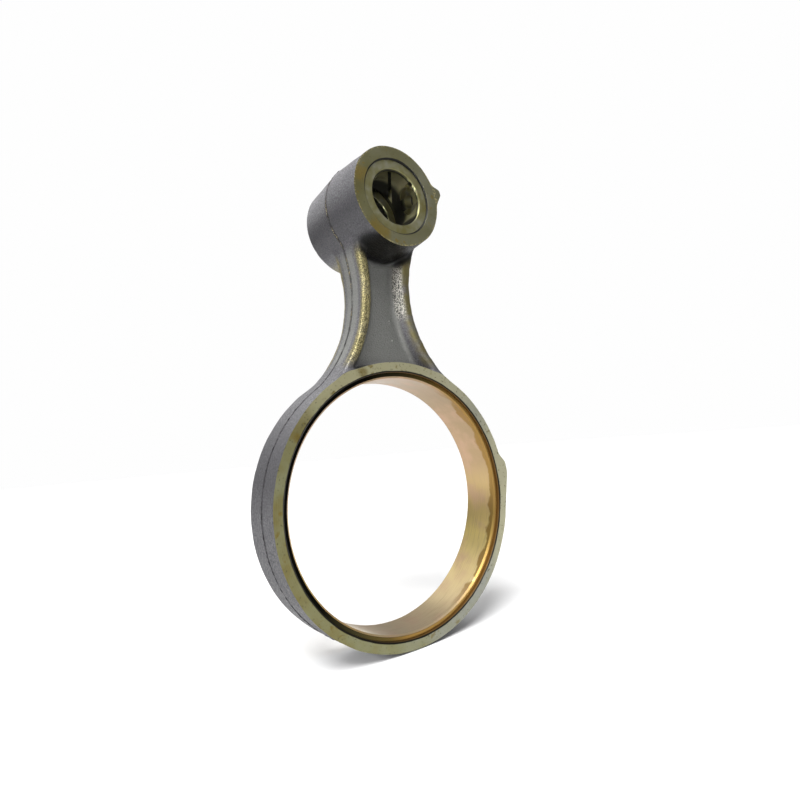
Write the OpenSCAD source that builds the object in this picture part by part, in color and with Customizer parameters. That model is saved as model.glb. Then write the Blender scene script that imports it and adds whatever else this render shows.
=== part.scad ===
// One-piece connecting rod of a small piston compressor, in millimetres, +Z up.
// Origin: centre of the big-end bore, half way between the two machined faces of the ring.
// Y is the axis of both bores. The small end lies straight above, at Z = centre_distance.
// The rod is a single casting. Three plain bushes are pressed into it: a thin bronze one in the
// big end, and two thick steel-backed ones in the small end with a gap for oil between them.

/* [Rod] */
// Distance between the axes of the two bores
centre_distance = 88; // [80:1:110]

/* [Big end] */
// Inside diameter of the bronze bush, which runs on the eccentric
big_bore_d = 72; // [66:0.5:74]
// Outside diameter of the bronze bush, which is the bore machined in the ring
big_bush_d = 75; // [73:0.5:77]
// Outside diameter of the ring
big_ring_d = 81; // [79:0.5:86]
// Width of the ring between its machined faces
big_ring_w = 15; // [13:0.5:20]
// How far each end of the bronze bush sits below the face of the ring
big_bush_recess = 1; // [0.2:0.1:2]

/* [Small end] */
// Inside diameter of the two small bushes, which take the gudgeon pin
pin_bore_d = 16; // [12:0.5:19]
// Outside diameter of the two small bushes
small_bush_d = 22; // [20:0.5:24]
// Length of each small bush
small_bush_w = 12; // [10:0.5:13]
// Outside diameter of the boss at its machined faces
boss_d = 29.6; // [27:0.2:32]
// How much the radius of the boss grows from each face to the parting line, as moulding draft
boss_draft = 1; // [0.4:0.1:1.4]
// Width of the boss between its machined faces
boss_w = 29; // [28:0.5:34]
// How far each small bush sits below the face of the boss
small_bush_recess = 0.6; // [0.2:0.1:1]

/* [Shank] */
// Width of the I-section at its waist
waist_w = 18; // [15:0.5:22]
// Height of the waist above the big-end axis
waist_z = 63; // [60:0.5:65]
// Thickness of the flanges, measured along the bores
flange_t = 12; // [10:0.5:13]
// Thickness of the web between the flanges
web_t = 4; // [3:0.5:6]
// Width of each flange at its crest
crest_w = 2.2; // [1.5:0.1:3]
// Width of each flange where it meets the web
root_w = 5; // [4:0.1:6]

/* [Oil feed] */
// Diameter of the oil hole drilled through the lug into the front small bush
oil_hole_d = 4; // [2:0.5:5]
// Diameter of the flat face around the inner end of the oil hole
oil_face_d = 8; // [6:0.5:8.5]
// Direction of the oil hole, upwards from the horizontal
oil_angle = 16; // [5:1:25]
// Distance of the oil hole from the front face of the boss
oil_depth = 4.8; // [4.8:0.1:6]

/* [Hidden] */

$fn = 96;
cut = 1;

iron = "dimgray";
bronze = "peru";
steel = "darkkhaki";

ring_r = big_ring_d / 2;
boss_r = boss_d / 2;
boss_mid_d = boss_d + 2 * boss_draft;
boss_crest_r = boss_r + boss_draft * (1 - flange_t / boss_w);
half_waist = waist_w / 2;

// The flanks are arcs that leave the waist straight and run almost tangent into the ring and the
// boss. They are drawn tangent to circles a little inside those two, so that the surfaces cross.
tuck = 0.15;
ring_in_r = ring_r - tuck;
boss_in_r = boss_r - tuck;
boss_drop = centre_distance - waist_z;

// Radius of an arc that is upright at the waist and touches a circle of radius r, drop away
function flank_radius(drop, r) = (pow(half_waist, 2) + pow(drop, 2) - pow(r, 2)) / (2 * (r - half_waist));

ring_flank_r = flank_radius(waist_z, ring_in_r);
boss_flank_r = flank_radius(boss_drop, boss_in_r);
ring_touch = ring_in_r / (ring_in_r + ring_flank_r);
boss_touch = boss_in_r / (boss_in_r + boss_flank_r);
ring_touch_x = (half_waist + ring_flank_r) * ring_touch;
ring_touch_z = waist_z * ring_touch;
boss_touch_x = (half_waist + boss_flank_r) * boss_touch;
boss_touch_z = centre_distance - boss_drop * boss_touch;

// The seam where the two halves of the mould met, all round the outside
seam_h = 0.3;
seam_w = 0.8;

// Small fillets drawn as cones: web to ring, and web to boss. The second starts a little outside
// the boss.
ring_fillet = 2;
boss_fillet = 1.8;
boss_gap = 0.3;
bush_chamfer = 0.5;
mouth_chamfer = 0.4;

// Lug on the boss that the oil hole starts from, flush with the front face. Its crest is cut flat
// around the hole.
lug_r = 17.2;
lug_foot_in = 3;
lug_up = 4.2;
lug_down = 6.4;
lug_crest = 0.8;
lug_flat_r = 15.6;
lug_flat_d = 6;
lug_w = 2 * oil_depth;

// Low pad on the side of the ring, steeper above than below
pad_angle = 8;
pad_h = 2;
pad_crest_up = 2.2;
pad_crest_down = 1.5;
pad_foot_up = 6;
pad_foot_down = 11;

// Depth of the flat face around the inner end of the oil hole, behind the wall of the bore
oil_face_deep = 0.2;

// Oil groove that crosses the upper wall of the front small bush slantwise, from just inside its
// front edge
groove_start = 1.2;
groove_w = 1;
groove_deep = 0.7;
groove_slant = 35;
groove_x = 2.4;

// Small notch in the upper edge of the flat face round the oil hole
notch_angle = 43;
notch_w = 1.4;
notch_len = 2.3;
notch_depth = 1.9;

// A cylinder or cone along Y, from y0 to y1, centred on x and z
module bar(d0, d1, y0, y1, x = 0, z = 0) {
    translate([x, y0, z])
        rotate([-90, 0, 0])
            cylinder(d1 = d0, d2 = d1, h = y1 - y0);
}

// A flat shape drawn in X and Z, made thickness t thick about the middle plane
module plate(t) {
    translate([0, t / 2, 0])
        rotate([90, 0, 0])
            linear_extrude(height = t)
                children();
}

// Half of the shank between the waist and one end, its flanks moved out by grow
module flank_pair(half_w, z0, z1, flank_r, grow) {
    difference() {
        translate([-half_w - grow, min(z0, z1)])
            square([2 * (half_w + grow), abs(z1 - z0)]);
        for (side = [-1, 1])
            translate([side * (half_waist + flank_r), waist_z])
                circle(r = flank_r - grow, $fn = 2 * $fn);
    }
}

module shank_outline(grow = 0) {
    flank_pair(ring_touch_x, waist_z, ring_touch_z, ring_flank_r, grow);
    flank_pair(boss_touch_x, waist_z, boss_touch_z, boss_flank_r, grow);
}

// The boss tapers from the parting line to both faces
module drafted_boss() {
    bar(boss_d, boss_mid_d, -boss_w / 2, 0, 0, centre_distance);
    bar(boss_mid_d, boss_d, 0, boss_w / 2, 0, centre_distance);
}

module parting_seam() {
    seam_ring_d = big_ring_d + 2 * seam_h;
    seam_boss_d = boss_mid_d + 2 * seam_h;
    bar(seam_ring_d, seam_ring_d, -seam_w / 2, seam_w / 2);
    bar(seam_boss_d, seam_boss_d, -seam_w / 2, seam_w / 2, 0, centre_distance);
    plate(seam_w)
        shank_outline(seam_h);
}

// The recess between two flanges and one end, on the front. Its walls slope as cones about the
// same axes as the flanks, so that each flange is thin at its crest and thick at the web.
module half_recess(half_w, z0, z1, flank_r, end_r, end_z, end_fillet) {
    crest_y = -flange_t / 2;
    web_y = -web_t / 2;
    slope = (root_w - crest_w) / (web_y - crest_y);
    end_slope = end_fillet / (web_y - crest_y);
    difference() {
        translate([-half_w, crest_y - cut, min(z0, z1)])
            cube([2 * half_w, web_y - crest_y + cut, abs(z1 - z0)]);
        for (side = [-1, 1])
            bar(2 * (flank_r + crest_w - 2 * cut * slope), 2 * (flank_r + root_w + cut * slope),
                crest_y - 2 * cut, web_y + cut, side * (half_waist + flank_r), waist_z);
        bar(2 * (end_r - 2 * cut * end_slope), 2 * (end_r + end_fillet + cut * end_slope),
            crest_y - 2 * cut, web_y + cut, 0, end_z);
    }
}

module web_recess() {
    half_recess(ring_touch_x, waist_z, ring_touch_z, ring_flank_r, ring_r, 0, ring_fillet);
    difference() {
        half_recess(boss_touch_x, waist_z, boss_touch_z, boss_flank_r, boss_crest_r + boss_gap,
            centre_distance, boss_fillet);
        drafted_boss();
    }
}

module oil_lug() {
    lug_foot = boss_r - lug_foot_in;
    translate([0, -boss_w / 2 + lug_w, centre_distance])
        rotate([90, 0, 0])
            linear_extrude(height = lug_w)
                rotate(oil_angle)
                    polygon([[lug_foot, -lug_down], [lug_r, -lug_crest], [lug_r, lug_crest], [lug_foot, lug_up]]);
}

module ring_pad() {
    pad_in = ring_r - 1;
    plate(big_ring_w)
        rotate(pad_angle)
            polygon([
                [pad_in, -pad_foot_down],
                [ring_r + pad_h, -pad_crest_down],
                [ring_r + pad_h, pad_crest_up],
                [pad_in, pad_foot_up]
            ]);
}

// A round cutter along the oil hole, between two distances from the pin's axis
module oil_cutter(d, r0, r1) {
    translate([0, -boss_w / 2 + oil_depth, centre_distance])
        rotate([0, 90 - oil_angle, 0])
            translate([0, 0, r0])
                cylinder(d = d, h = r1 - r0);
}

// The bore of one end with a small chamfer at both mouths
module housing_bore(d, w, z) {
    wide = d + 2 * mouth_chamfer;
    bar(d, d, -w / 2 - cut, w / 2 + cut, 0, z);
    bar(wide + 2 * cut, d, -w / 2 - cut, -w / 2 + mouth_chamfer, 0, z);
    bar(d, wide + 2 * cut, w / 2 - mouth_chamfer, w / 2 + cut, 0, z);
}

// A plain bush from y0 to y1, chamfered inside at both ends
module bush(outer_d, inner_d, chamfer, y0, y1, z) {
    difference() {
        bar(outer_d, outer_d, y0, y1, 0, z);
        bar(inner_d, inner_d, y0 - cut, y1 + cut, 0, z);
        bar(inner_d + 2 * (chamfer + cut), inner_d, y0 - cut, y0 + chamfer, 0, z);
        bar(inner_d, inner_d + 2 * (chamfer + cut), y1 - chamfer, y1 + cut, 0, z);
    }
}

// A narrow slanting slot in the upper wall of the front small bush, and the notch beside it
module oil_slots() {
    reach = pin_bore_d / 2 + groove_deep;
    y0 = -boss_w / 2 + small_bush_recess;
    intersection() {
        bar(2 * reach, 2 * reach, y0 + groove_start, y0 + small_bush_w + cut, 0, centre_distance);
        translate([groove_x, y0 + small_bush_w / 2, centre_distance])
            rotate(-groove_slant)
                translate([-groove_w / 2, -1.5 * small_bush_w, 0])
                    cube([groove_w, 3 * small_bush_w, 2 * reach]);
    }
    translate([0, -boss_w / 2 + notch_depth, centre_distance])
        rotate([0, 90 - notch_angle, 0])
            translate([-notch_w / 2, -notch_len / 2, 0])
                cube([notch_w, notch_len, reach]);
}

module rod_body() {
    color(iron)
        difference() {
            union() {
                bar(big_ring_d, big_ring_d, -big_ring_w / 2, big_ring_w / 2);
                drafted_boss();
                plate(flange_t)
                    shank_outline();
                parting_seam();
                oil_lug();
                ring_pad();
            }
            web_recess();
            mirror([0, 1, 0])
                web_recess();
            housing_bore(big_bush_d, big_ring_w, 0);
            housing_bore(small_bush_d, boss_w, centre_distance);
            oil_cutter(oil_hole_d, 0, lug_r + cut);
            oil_cutter(lug_flat_d, lug_flat_r, lug_r + cut);
        }
}

module big_end_bush() {
    y1 = big_ring_w / 2 - big_bush_recess;
    color(bronze)
        bush(big_bush_d, big_bore_d, bush_chamfer, -y1, y1, 0);
}

module small_end_bush_front() {
    y0 = -boss_w / 2 + small_bush_recess;
    color(steel)
        difference() {
            bush(small_bush_d, pin_bore_d, bush_chamfer, y0, y0 + small_bush_w, centre_distance);
            oil_cutter(oil_hole_d, 0, small_bush_d);
            oil_cutter(oil_face_d, 0, pin_bore_d / 2 + oil_face_deep);
            oil_slots();
        }
}

module small_end_bush_rear() {
    y1 = boss_w / 2 - small_bush_recess;
    color(steel)
        bush(small_bush_d, pin_bore_d, bush_chamfer, y1 - small_bush_w, y1, centre_distance);
}

rod_body();
big_end_bush();
small_end_bush_front();
small_end_bush_rear();
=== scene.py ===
# %% [markdown]
# A one-piece connecting rod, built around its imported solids.
# The rod has four pieces: a cast-iron rod, a thin bronze bush in the big end, and two thick
# bushes in the small end. The scene is made in the order of the workshop: first the rough
# casting, then the machining cuts, then the bushes, and last the finishes and the studio.
# All sizes are in metres. X points to the side of the oil lug, Y along both bores, Z up.

# %% Load the frame
import math

import bpy
from mathutils import Matrix, Vector


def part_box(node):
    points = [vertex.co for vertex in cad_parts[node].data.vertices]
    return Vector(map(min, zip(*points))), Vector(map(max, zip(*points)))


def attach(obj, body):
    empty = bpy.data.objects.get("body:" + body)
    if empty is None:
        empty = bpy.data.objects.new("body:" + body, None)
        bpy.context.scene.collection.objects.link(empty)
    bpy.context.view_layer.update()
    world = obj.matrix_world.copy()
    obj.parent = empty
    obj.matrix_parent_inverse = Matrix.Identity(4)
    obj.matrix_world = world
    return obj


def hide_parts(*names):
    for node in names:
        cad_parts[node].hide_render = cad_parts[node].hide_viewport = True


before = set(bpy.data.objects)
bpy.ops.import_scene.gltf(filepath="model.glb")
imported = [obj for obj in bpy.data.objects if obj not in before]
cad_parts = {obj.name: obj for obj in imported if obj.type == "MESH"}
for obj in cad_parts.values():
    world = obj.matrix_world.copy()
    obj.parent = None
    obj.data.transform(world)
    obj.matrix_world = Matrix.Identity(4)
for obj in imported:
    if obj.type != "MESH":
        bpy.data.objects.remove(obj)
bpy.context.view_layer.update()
MM = 0.001
print("nodes", sorted(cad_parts))

# %% [markdown]
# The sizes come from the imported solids, so that each piece lands where its solid is. Only the
# things that a box can't tell, such as the thickness of a flange, are stated here.

# %% Sizes
SEAM_HEIGHT = 0.3 * MM
rod_low, rod_high = (Vector(corner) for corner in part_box("rod_body"))
big_low, big_high = (Vector(corner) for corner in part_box("big_end_bush"))
front_low, front_high = (Vector(corner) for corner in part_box("small_end_bush_front"))
rear_low, rear_high = (Vector(corner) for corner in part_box("small_end_bush_rear"))

RING_RADIUS = -rod_low.x - SEAM_HEIGHT
RING_HALF = big_high.y + 1.0 * MM
HOUSING_RADIUS = big_high.x
BIG_BORE_RADIUS = HOUSING_RADIUS - 1.5 * MM
BOSS_HEIGHT = (front_low.z + front_high.z) / 2
BOSS_DRAFT = 1.0 * MM
BOSS_RADIUS = rod_high.z - BOSS_HEIGHT - SEAM_HEIGHT - BOSS_DRAFT
BOSS_HALF = rod_high.y
SMALL_HOUSING_RADIUS = front_high.x
PIN_RADIUS = SMALL_HOUSING_RADIUS - 3 * MM
OIL_ANGLE = math.radians(16)
OIL_Y = -BOSS_HALF + 4.8 * MM

WAIST_HEIGHT = 63 * MM
WAIST_HALF = 9 * MM
print("ring radius mm", round(RING_RADIUS / MM, 2), "boss radius mm", round(BOSS_RADIUS / MM, 2))
print("centres mm", round(BOSS_HEIGHT / MM, 2))


# %% [markdown]
# Operators act on whatever is selected, so every step starts from a clean selection. These small
# helpers hold the moves that every piece below needs.

# %% Helpers for modelling
def only(obj):
    """Select one object alone and make it active."""
    if bpy.context.object and bpy.context.object.mode != "OBJECT":
        bpy.ops.object.mode_set(mode="OBJECT")
    bpy.ops.object.select_all(action="DESELECT")
    obj.select_set(True)
    bpy.context.view_layer.objects.active = obj


def named(name):
    """Name the newest object, and put its place and turn into its mesh."""
    obj = bpy.context.object
    obj.name = obj.data.name = name
    bpy.ops.object.transform_apply(location=True, rotation=True, scale=True)
    return obj


def bar(name, radius, y0, y1, x=0.0, z=0.0, sides=192, radius_end=None):
    """A round bar or cone along Y, from y0 to y1."""
    bpy.ops.object.select_all(action="DESELECT")
    bpy.ops.mesh.primitive_cone_add(
        vertices=sides, radius1=radius, radius2=radius if radius_end is None else radius_end,
        depth=y1 - y0, location=(x, (y0 + y1) / 2, z), rotation=(-math.pi / 2, 0, 0))
    return named(name)


def modify(obj, kind, **settings):
    """Add a modifier with its settings and apply it."""
    only(obj)
    step = obj.modifiers.new(kind.title(), kind)
    for setting, value in settings.items():
        setattr(step, setting, value)
    bpy.ops.object.modifier_apply(modifier=step.name)


def cut(obj, tool, operation="DIFFERENCE"):
    """Cut with a tool, whose material goes on to the new surface, and throw the tool away."""
    modify(obj, "BOOLEAN", object=tool, operation=operation, solver="EXACT", material_mode="TRANSFER")
    bpy.data.objects.remove(tool)


def select_where(obj, mode, test):
    """In edit mode, select the vertices or faces whose place passes a test."""
    only(obj)
    bpy.ops.object.mode_set(mode="EDIT")
    bpy.ops.mesh.select_mode(type=mode)
    bpy.ops.mesh.select_all(action="DESELECT")
    bpy.ops.object.mode_set(mode="OBJECT")
    items = obj.data.vertices if mode == "VERT" else obj.data.polygons
    for item in items:
        item.select = test(item.co if mode == "VERT" else item.center)
    bpy.ops.object.mode_set(mode="EDIT")


# %% [markdown]
# The shank is an I-section that widens towards both ends. It could be a block cut with milled
# pockets, but a casting has no corners: the section is drawn once as a closed loop of points,
# then extruded upwards station by station, and each new loop is widened to the flank's outline.
# The flanks are arcs, upright at the waist and tangent to the ring below and the boss above.

# %% Outline of the shank
TUCK = 0.15 * MM


def flank_radius(drop, radius):
    """Radius of the arc that is upright at the waist and touches a circle that far away."""
    return (WAIST_HALF ** 2 + drop ** 2 - radius ** 2) / (2 * (radius - WAIST_HALF))


RING_FLANK = flank_radius(WAIST_HEIGHT, RING_RADIUS - TUCK)
BOSS_FLANK = flank_radius(BOSS_HEIGHT - WAIST_HEIGHT, BOSS_RADIUS - TUCK)
SHANK_LOW = WAIST_HEIGHT * RING_RADIUS / (RING_RADIUS + RING_FLANK)
SHANK_HIGH = BOSS_HEIGHT - (BOSS_HEIGHT - WAIST_HEIGHT) * BOSS_RADIUS / (BOSS_RADIUS + BOSS_FLANK)


def half_width(z):
    """Half the width of the shank at a height."""
    radius = RING_FLANK if z < WAIST_HEIGHT else BOSS_FLANK
    drop = min(abs(z - WAIST_HEIGHT), radius)
    return WAIST_HALF + radius - math.sqrt(radius ** 2 - drop ** 2)


print("flank arcs mm", round(RING_FLANK / MM, 1), round(BOSS_FLANK / MM, 1))
print("shank from", round(SHANK_LOW / MM, 1), "to", round(SHANK_HIGH / MM, 1), "mm")

# %% [markdown]
# One quarter of the section, from the middle of the web round to the parting line: the web, the
# sloping inner wall of the flange, its crest, and the slightly drafted outer wall. The other
# three quarters are its mirror images. The flanges are a little thinner along the bores at the
# waist than at the two ends, as the silhouette of the back flange shows.

# %% Section of the shank
WEB_HALF = 2.0 * MM
FLANGE_HALF_WAIST = 5.9 * MM
FLANGE_HALF_END = 7.2 * MM
FLANGE_ROOT = 5.2 * MM
FLANGE_CREST = 2.9 * MM
DRAFT = 0.5 * MM


def flange_half(z):
    """Half the thickness of the flanges at a height."""
    away = min(abs(z - WAIST_HEIGHT + 6 * MM) / (20 * MM), 1.0)
    return FLANGE_HALF_WAIST + (FLANGE_HALF_END - FLANGE_HALF_WAIST) * away ** 2


def shank_section(z):
    """The whole closed section at a height, as a list of points."""
    wide, thick = half_width(z), flange_half(z)
    quarter = [
        (0.0, -WEB_HALF),
        ((wide - FLANGE_ROOT) * 0.5, -WEB_HALF),
        (wide - FLANGE_ROOT, -WEB_HALF),
        (wide - (FLANGE_ROOT + FLANGE_CREST) / 2, -(WEB_HALF + thick) / 2),
        (wide - FLANGE_CREST, -thick),
        (wide - DRAFT, -thick),
        (wide - DRAFT / 2, -thick / 2),
    ]
    side = quarter[1:] + [(wide, 0.0)] + [(x, -y) for x, y in reversed(quarter[1:])]
    right = [quarter[0]] + side + [(0.0, WEB_HALF)]
    return right + [(-x, y) for x, y in reversed(side)]


print("points in the section", len(shank_section(WAIST_HEIGHT)))

# %% Draw the shank
STATION = 1.5 * MM
stations = round((SHANK_HIGH + 3 * MM - SHANK_LOW) / STATION)
loop = shank_section(SHANK_LOW)
bpy.ops.object.select_all(action="DESELECT")
bpy.ops.mesh.primitive_circle_add(
    vertices=len(loop), radius=WAIST_HALF, fill_type="NGON", location=(0, 0, SHANK_LOW))
casting = named("rod_body_shaped")
for corner, (x, y) in zip(casting.data.vertices, loop):
    corner.co = (x, y, SHANK_LOW)
bpy.ops.object.mode_set(mode="EDIT")
bpy.ops.mesh.select_all(action="SELECT")
for station in range(1, stations + 1):
    bpy.ops.mesh.extrude_region_move(TRANSFORM_OT_translate={"value": (0, 0, STATION)})
    bpy.ops.object.mode_set(mode="OBJECT")
    height = SHANK_LOW + station * STATION
    raised = [corner for corner in casting.data.vertices if corner.select]
    for corner, (x, y) in zip(raised, shank_section(min(height, SHANK_HIGH))):
        corner.co = (x, y, height)
    bpy.ops.object.mode_set(mode="EDIT")
bpy.ops.object.mode_set(mode="OBJECT")
print("shank stations", stations, "points in the section", len(loop))

# %% [markdown]
# The ring and the boss are solid at this stage, with spare metal on both faces for the machining,
# and no bores: the big holes are cut later. The boss is two cones, because a pattern has to come
# out of the sand on both sides, so it is widest at the parting line. The lug and the pad are small
# drawn outlines, extruded along the bores.

# %% Ring, boss, lug and pad of the rough casting
SPARE = 3.5 * MM
ring = bar("ring", RING_RADIUS, -RING_HALF - SPARE, RING_HALF + SPARE, sides=360)
boss_wide = BOSS_RADIUS + BOSS_DRAFT
boss_narrow = boss_wide - BOSS_DRAFT * (BOSS_HALF + SPARE) / BOSS_HALF
boss = bar("boss front", boss_narrow, -BOSS_HALF - SPARE, 0.0, z=BOSS_HEIGHT, radius_end=boss_wide)
boss_rear = bar("boss rear", boss_wide, 0.0, BOSS_HALF + SPARE, z=BOSS_HEIGHT, radius_end=boss_narrow)


def prism(name, outline, centre_z, y0, y1):
    """A flat outline in X and Z, drawn as a filled loop at y0 and extruded to y1."""
    bpy.ops.object.select_all(action="DESELECT")
    bpy.ops.mesh.primitive_circle_add(vertices=len(outline), fill_type="NGON")
    obj = named(name)
    for corner, (x, z) in zip(obj.data.vertices, outline):
        corner.co = (x, y0, centre_z + z)
    bpy.ops.object.mode_set(mode="EDIT")
    bpy.ops.mesh.select_all(action="SELECT")
    bpy.ops.mesh.extrude_region_move(TRANSFORM_OT_translate={"value": (0, y1 - y0, 0)})
    bpy.ops.mesh.select_all(action="SELECT")
    bpy.ops.mesh.normals_make_consistent(inside=False)
    bpy.ops.object.mode_set(mode="OBJECT")
    return obj


def turned(points, angle):
    """Turn points in mm about the bore's axis, and give them in metres."""
    c, s = math.cos(angle), math.sin(angle)
    return [((x * c - z * s) * MM, (x * s + z * c) * MM) for x, z in points]


LUG = [(11.8, -6.4), (17.2, -0.8), (17.2, 0.8), (11.8, 4.2)]
PAD = [(38.0, -14.0), (42.4, -1.5), (42.4, 2.2), (38.0, 8.0)]
lug = prism("lug", turned(LUG, OIL_ANGLE), BOSS_HEIGHT, -BOSS_HALF - SPARE, -BOSS_HALF + 9.6 * MM)
pad = prism("pad", turned(PAD, math.radians(8)), 0.0, -RING_HALF - SPARE, RING_HALF + SPARE)
print("rough boss radius mm", round(boss_narrow / MM, 2), "to", round(boss_wide / MM, 2))

# %% [markdown]
# The parts of the casting are joined, and a voxel remesh melts them into one skin with even
# faces. Smoothing that skin rounds every inside corner into the fillets that molten iron and
# sand leave behind, and softens the crests of the flanges. The tip of the lug gets less of it,
# and keeps its corners.

# %% Melt the casting into one skin
VOXEL = 0.44 * MM
SMOOTH_ALL, SMOOTH_SOFT = 5, 17
LUG_TIP = 15.2 * MM
LUG_BELOW = 80 * MM
only(casting)
for extra in (ring, boss, boss_rear, lug, pad):
    extra.select_set(True)
bpy.ops.object.join()
modify(casting, "REMESH", mode="VOXEL", voxel_size=VOXEL)
modify(casting, "SMOOTH", factor=0.5, iterations=SMOOTH_ALL)
soft = casting.vertex_groups.new(name="soft")
lug_way = Vector((math.cos(OIL_ANGLE), 0, math.sin(OIL_ANGLE)))
boss_middle = Vector((0, 0, BOSS_HEIGHT))
rounded = [corner.index for corner in casting.data.vertices
           if (corner.co - boss_middle).dot(lug_way) < LUG_TIP or corner.co.z < LUG_BELOW]
soft.add(rounded, 1.0, "REPLACE")
modify(casting, "SMOOTH", factor=0.5, iterations=SMOOTH_SOFT, vertex_group="soft")
casting.vertex_groups.clear()
print("faces in the skin", len(casting.data.polygons))

# %% [markdown]
# Sand moulds and shot blasting leave the skin a little uneven, by about a fifth of a millimetre
# over a centimetre. A displacement by soft cloud noise gives that. Where the two halves of the
# mould met, a thin irregular ridge of flash is left all round the outside: cuts beside the middle
# plane give the skin the edges to carry it, and the vertices between them are pushed out.

# %% Uneven skin and the parting seam
def cloud(name, size):
    """A soft three-dimensional noise for displacing a surface, with bumps of about that size."""
    texture = bpy.data.textures.new(name, "CLOUDS")
    texture.noise_scale = size
    texture.noise_depth = 2
    return texture


SKIN_WAVE = 0.25 * MM
SEAM_CUTS = (-0.45, -0.16, 0.16, 0.45)
modify(casting, "DISPLACE", texture=cloud("skin waves", 7 * MM), strength=SKIN_WAVE, mid_level=0.5)
for place in SEAM_CUTS:
    only(casting)
    bpy.ops.object.mode_set(mode="EDIT")
    bpy.ops.mesh.select_all(action="SELECT")
    bpy.ops.mesh.bisect(plane_co=(0, place * MM, 0), plane_no=(0, 1, 0), threshold=0.01 * MM)
bpy.ops.object.mode_set(mode="OBJECT")
seam = casting.vertex_groups.new(name="seam")
on_seam = [corner.index for corner in casting.data.vertices if abs(corner.co.y) < 0.2 * MM]
seam.add(on_seam, 1.0, "REPLACE")
modify(casting, "DISPLACE", texture=cloud("flash beads", 1.1 * MM), strength=0.5 * MM, mid_level=0.32,
       vertex_group="seam")
print("vertices on the seam", len(on_seam))

# %% [markdown]
# Now the casting goes to the machine shop. Each cutting tool carries the finish of a turned face,
# and the boolean leaves that finish on the surface that it cuts, as a real cutter would. The
# faces come first, then the bores with their small chamfers, then the oil hole.

# %% Machining tools
cast_skin = bpy.data.materials.new("shot-blasted cast iron")
turned_face = bpy.data.materials.new("turned cast iron, oiled")
casting.data.materials.append(cast_skin)
FAR = 60 * MM
CHAMFER = 0.4 * MM


def block(name, low, high):
    """A milling cutter: a block between two corners, carrying the turned finish."""
    centre = [(a + b) / 2 for a, b in zip(low, high)]
    bpy.ops.object.select_all(action="DESELECT")
    bpy.ops.mesh.primitive_cube_add(size=1, location=centre)
    bpy.context.object.scale = [b - a for a, b in zip(low, high)]
    obj = named(name)
    obj.data.materials.append(turned_face)
    return obj


def bore_tool(radius, half, z, sides):
    """A boring bar that opens into a cone at both ends, which leaves a chamfer on each edge."""
    tool = bar("boring bar", radius, -half + CHAMFER, half - CHAMFER, z=z, sides=sides)
    tool.data.materials.append(turned_face)
    wider = (radius + CHAMFER + MM) / radius
    for side in (-1, 1):
        select_where(tool, "FACE", lambda centre: side * centre.y > half - 2 * CHAMFER)
        bpy.ops.mesh.extrude_region_move(TRANSFORM_OT_translate={"value": (0, side * (CHAMFER + MM), 0)})
        bpy.ops.transform.resize(value=(wider, 1, wider), center_override=(0, side * half, z))
    only(tool)
    print("boring bar faces", len(tool.data.polygons))
    return tool


def drill(name, radius, start, end, sides=64):
    """A drill along the oil hole, between two distances from the pin's axis."""
    middle = (start + end) / 2
    place = (middle * math.cos(OIL_ANGLE), OIL_Y, BOSS_HEIGHT + middle * math.sin(OIL_ANGLE))
    bpy.ops.object.select_all(action="DESELECT")
    bpy.ops.mesh.primitive_cylinder_add(
        vertices=sides, radius=radius, depth=end - start, location=place,
        rotation=(0, math.radians(90) - OIL_ANGLE, 0))
    return named(name)


# %% Machine the casting
for side in (-1, 1):
    near, far = sorted((side * RING_HALF, side * FAR))
    cut(casting, block("ring facing", (-FAR, near, -FAR), (FAR, far, BOSS_HEIGHT / 2 + 6 * MM)))
    near, far = sorted((side * BOSS_HALF, side * FAR))
    cut(casting, block("boss facing", (-FAR, near, BOSS_HEIGHT / 2), (FAR, far, BOSS_HEIGHT + FAR)))
cut(casting, bore_tool(HOUSING_RADIUS, RING_HALF, 0.0, 360))
cut(casting, bore_tool(SMALL_HOUSING_RADIUS, BOSS_HALF, BOSS_HEIGHT, 128))
OIL_HOLE_RADIUS = 2.0 * MM
LUG_FLAT = 15.6 * MM
for tool in (drill("oil drill", OIL_HOLE_RADIUS, 0.0, 20 * MM),
             drill("spot facer", 3 * MM, LUG_FLAT, 20 * MM)):
    tool.data.materials.append(turned_face)
    cut(casting, tool)
only(casting)
bpy.ops.object.shade_smooth_by_angle(angle=math.radians(35))
print("machined casting faces", len(casting.data.polygons))

# %% [markdown]
# The bushes are rings. A tube primitive has no chamfers, so each ring is turned as on a lathe:
# its profile is drawn as a loop of points, radius and place along the bore, and spun round the
# axis of its bore. The inner edges have a chamfer, which lets the pin slide in.

# %% Turn the three bushes
BUSH_CHAMFER = 0.5 * MM


def turned_ring(name, inner, outer, y0, y1, z, steps):
    """A ring with chamfered inner edges, spun round an axis along Y at a height."""
    profile = [(inner + BUSH_CHAMFER, y0), (outer, y0), (outer, y1), (inner + BUSH_CHAMFER, y1),
               (inner, y1 - BUSH_CHAMFER), (inner, y0 + BUSH_CHAMFER)]
    bpy.ops.object.select_all(action="DESELECT")
    bpy.ops.mesh.primitive_circle_add(vertices=len(profile), fill_type="NOTHING")
    obj = named(name)
    for corner, (radius, y) in zip(obj.data.vertices, profile):
        corner.co = (radius, y, z)
    bpy.ops.object.mode_set(mode="EDIT")
    bpy.ops.mesh.select_all(action="SELECT")
    bpy.ops.mesh.spin(steps=steps, angle=math.tau, center=(0, 0, z), axis=(0, 1, 0))
    bpy.ops.mesh.select_all(action="SELECT")
    bpy.ops.mesh.remove_doubles(threshold=0.001 * MM)
    bpy.ops.mesh.normals_make_consistent(inside=False)
    bpy.ops.object.mode_set(mode="OBJECT")
    return obj


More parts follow.
